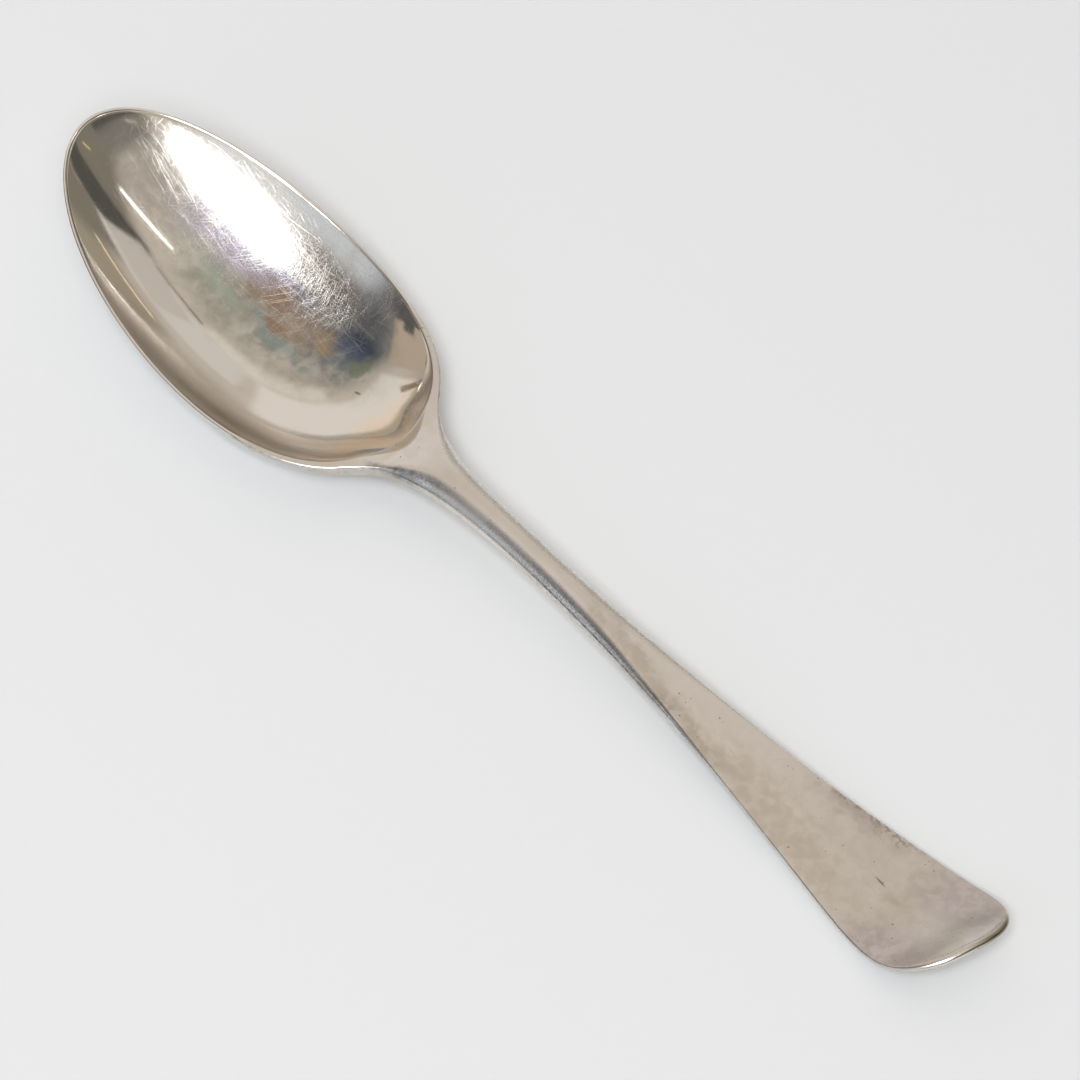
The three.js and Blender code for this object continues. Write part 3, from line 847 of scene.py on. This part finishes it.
# The heel drop: a tongue of silver over the joint on the underside, round at the bowl's end and thinning
# out along the stem. It is soldered on, filed to a low crown and worn as satin as the stem.
drop_reach, drop_tail, drop_width = 14 * mm, 9 * mm, 9 * mm
drop_thickness, drop_end_thickness, drop_blend = 0.9 * mm, 0.45 * mm, 3 * mm
drop_gap, drop_sunk = 0.3 * mm, 0.12 * mm
drop_place, drop_end = bowl_length - drop_reach, bowl_length + drop_tail


def drop_mesh(name):
    stations, steps = 48, 24
    share = 1 - np.cos(np.linspace(0, math.pi / 2, stations))
    place = drop_place + (drop_end - drop_place) * share[:, None]
    widest = np.minimum(drop_width / 2, stem_half_width(place) - stem_edge(place))
    half = widest * np.sqrt(1 - (1 - np.clip((place - drop_place) / (drop_width / 2), 0, 1)) ** 2)
    thickness = through(place, [
        (drop_place, drop_end_thickness), (bowl_length - drop_reach / 2, drop_thickness),
        (bowl_length, drop_thickness), (drop_end, drop_end_thickness),
    ])
    across = np.cos(np.linspace(0, math.pi, steps + 1))[None]
    side = half * across
    run = np.broadcast_to(place, side.shape)
    under_bowl = bowl_back(run, side, drop_gap)
    under_stem = stem_top(run) - stem_thickness(run) - drop_gap
    seat = np.minimum(under_bowl, under_stem)
    crown = blended_min(under_bowl, under_stem, drop_blend) - thickness
    lower = seat + (crown - seat) * np.sqrt(1 - across**2)
    upper = seat + drop_gap + drop_sunk
    ring = np.concatenate([
        np.stack([tip + run, side, upper], -1), np.stack([tip + run, side, lower], -1)[:, ::-1],
    ], 1)
    count = ring.shape[1]
    quads = [
        (row * count + column, row * count + (column + 1) % count,
         (row + 1) * count + (column + 1) % count, (row + 1) * count + column)
        for row in range(stations - 1) for column in range(count)
    ]
    quads.append(tuple((stations - 1) * count + column for column in range(count)))
    corners = ring.reshape(-1, 3).tolist()
    return closed_mesh(name, corners, quads, {"polish": [0.0] * len(corners), "under": [1.0] * len(corners)})


drop = bpy.data.objects.new("spoon_heel_drop", drop_mesh("spoon_heel_drop"))
bpy.context.scene.collection.objects.link(drop)
drop.data.materials.append(satin)
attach(drop, "root")
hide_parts("heel_drop")

# The floor: a pale, plain sheet of paper that the spoon lies on. Its colour is a little darker behind the
# spoon:
# painted shade for the falloff of one large light.
floor_reach = 8.0
floor_mesh = bpy.data.meshes.new("floor")
floor_corners = [(-floor_reach, -floor_reach, 0), (floor_reach, -floor_reach, 0)]
floor_corners += [(floor_reach, floor_reach, 0), (-floor_reach, floor_reach, 0)]
floor_mesh.from_pydata(floor_corners, [], [(0, 1, 2, 3)])
floor = bpy.data.objects.new("floor", floor_mesh)
bpy.context.scene.collection.objects.link(floor)
paper = bpy.data.materials.new("pale_paper")
paper.use_nodes = True
paper_shader = paper.node_tree.nodes["Principled BSDF"]
paper_tree = paper.node_tree
paper_place = add_node(paper_tree, "ShaderNodeSeparateXYZ", {
    "Vector": paper_tree.nodes.new("ShaderNodeTexCoord").outputs["Object"],
})
paper_painted_falloff = between(Formula(paper_tree, paper_place.outputs["Y"]), -0.3, 0.3)
paper_colour = mixed(paper_tree, paper_painted_falloff, (0.889, 0.910, 0.928, 1), (0.770, 0.790, 0.804, 1))
connect(paper_tree, paper_colour, paper_shader.inputs["Base Color"])
paper_shader.inputs["Roughness"].default_value = 0.9
paper_shader.inputs["Specular IOR Level"].default_value = 0.1
floor_mesh.materials.append(paper)

# The studio: a warm room with a large soft light over the camera, a pale wall behind the spoon and a dark
# side. A card hangs round the room and a panel overhead, and both are given in degrees: a card by its
# heading and its height over the floor, a panel by how far it lies from straight up, along and across.
studio = bpy.data.worlds.new("studio")
bpy.context.scene.world = studio
studio.use_nodes = True
room = studio.node_tree
look = add_node(room, "ShaderNodeSeparateXYZ", {
    "Vector": room.nodes.new("ShaderNodeTexCoord").outputs["Generated"],
})
look_x, look_y, look_z = (Formula(room, socket) for socket in look.outputs)
heading = look_y.math("ARCTAN2", look_x) * math.degrees(1)
climb = look_z.math("ARCSINE") * math.degrees(1)
from_top = (90 - climb) / ((look_x * look_x + look_y * look_y).math("SQRT") + 1e-6)
top_along, top_across = from_top * look_x, from_top * look_y


def patch(over, along, across, size, softness, colour):
    """A soft-edged rectangle of light laid over what is there already."""
    inside = [
        1 - between(way.math("ABSOLUTE"), reach / 2 - softness, reach / 2 + softness)
        for way, reach in zip((along, across), size)
    ]
    return mixed(room, inside[0] * inside[1], over, (*colour, 1))


def card(over, aim, size, softness, colour):
    along = (heading - aim[0]).math("WRAP", 180.0, -180.0)
    return patch(over, along, climb - aim[1], size, softness, colour)


def panel(over, aim, size, turn, softness, colour):
    away_along, away_across = top_along - aim[0], top_across - aim[1]
    cosine, sine = math.cos(math.radians(turn)), math.sin(math.radians(turn))
    along = away_along * cosine + away_across * sine
    across = away_across * cosine - away_along * sine
    return patch(over, along, across, size, softness, colour)


# The walls and the ceiling, warm and lighter higher up
light = mixed(room, between(climb, 5, 40), (0.40, 0.34, 0.275, 1), (0.55, 0.495, 0.435, 1))
light = mixed(room, between(climb, 52, 72), light, (0.73, 0.675, 0.615, 1))
# The far side: a brown foot, the dark side beyond the handle and the pale wall behind the spoon
light = card(light, (162, 12), (68, 7), 1.5, (0.38, 0.36, 0.315))
light = card(light, (112, 14), (36, 26), 4, (0.55, 0.50, 0.44))
light = card(light, (86, 8), (22, 28), 3, (0.335, 0.29, 0.225))
light = card(light, (28, 18), (100, 55), 4, (0.21, 0.19, 0.155))
light = card(light, (122, 46.5), (56, 9), 3, (0.70, 0.64, 0.57))
light = card(light, (154, 28), (72, 25), 2, (0.73, 0.68, 0.635))
light = card(light, (89, 36.5), (46, 17), 1.5, (0.625, 0.585, 0.545))
# The near side: a dark wall with a brown opening, and a white sheet under the lamp
light = panel(light, (-25, -47), (50, 72), 0, 11, (0.175, 0.175, 0.18))
light = panel(light, (-60, -47), (34, 52), 10, 4, (0.11, 0.105, 0.10))
light = panel(light, (-58.5, -33), (27, 30), 12, 1.5, (0.44, 0.365, 0.29))
light = panel(light, (-53, -45), (8, 8), 0, 1.5, (0.09, 0.09, 0.09))
light = panel(light, (-75, -11), (25, 5), 37, 1.2, (0.24, 0.18, 0.135))
light = panel(light, (17, -60), (42, 40), 0, 11, (0.72, 0.72, 0.725))
# A cool strip and a black one under it, which draw the band along the neck
light = card(light, (-103, 24), (30, 30), 5, (0.60, 0.64, 0.69))
light = card(light, (-116, 3), (70, 9), 1.5, (0.05, 0.05, 0.045))
# The large soft light overhead
light = panel(light, (20.5, -25), (30.5, 20), 8, 2.5, (10.6, 10.85, 11.2))
# What the bowl's tip mirrors: a grey field, a black beam with a pale end, and fine bright and dark edges
light = panel(light, (46, 8), (12, 36), 0, 2.5, (0.205, 0.195, 0.175))
light = panel(light, (32, 50), (34, 13.5), 16, 1.5, (0.085, 0.085, 0.075))
light = panel(light, (11, 51.4), (22, 14), -17, 1.2, (0.535, 0.49, 0.45))
light = panel(light, (54, 4), (9, 44), 8, 2.0, (0.10, 0.095, 0.085))
light = panel(light, (6, 70), (20, 0.8), 0, 0.4, (1.2, 0.98, 0.68))
light = panel(light, (34, 59.9), (8, 0.9), 30, 0.5, (0.37, 0.30, 0.235))
light = panel(light, (42.8, 37.7), (4, 0.9), 56, 0.5, (0.75, 0.56, 0.32))
light = panel(light, (46.6, -3.6), (0.9, 7), -16, 0.5, (0.62, 0.56, 0.46))
light = panel(light, (34, 13.7), (12, 1.2), -17, 0.6, (0.66, 0.63, 0.58))
light = panel(light, (6, 42.5), (15, 1.2), 0, 0.5, (0.22, 0.18, 0.15))
light = panel(light, (25, 29), (15, 1.4), 20, 0.5, (3.2, 3.1, 2.8))
connect(room, light, room.nodes["Background"].inputs["Color"])

# The camera: the photograph's angle, worked out together with the spoon's outline.
camera_azimuth, camera_elevation = math.radians(47.0), math.radians(56.34)
camera_distance = 1.1695
camera_lens = 249.4
aim_right, aim_up = 0.00283, 0.0045
back = Vector((
    math.sin(camera_azimuth) * math.cos(camera_elevation),
    -math.cos(camera_azimuth) * math.cos(camera_elevation),
    math.sin(camera_elevation),
))
right = Vector((math.cos(camera_azimuth), math.sin(camera_azimuth), 0))
up = back.cross(right)
camera = bpy.data.objects.new("camera", bpy.data.cameras.new("camera"))
bpy.context.scene.collection.objects.link(camera)
camera.data.lens = camera_lens
camera.data.sensor_width = 36
camera.location = back * camera_distance
camera.rotation_mode = "QUATERNION"
camera.rotation_quaternion = (right * aim_right + up * aim_up - back).to_track_quat("-Z", "Y")
camera.data.clip_end = 100
bpy.context.scene.camera = camera
bpy.context.scene.view_settings.view_transform = "Standard"
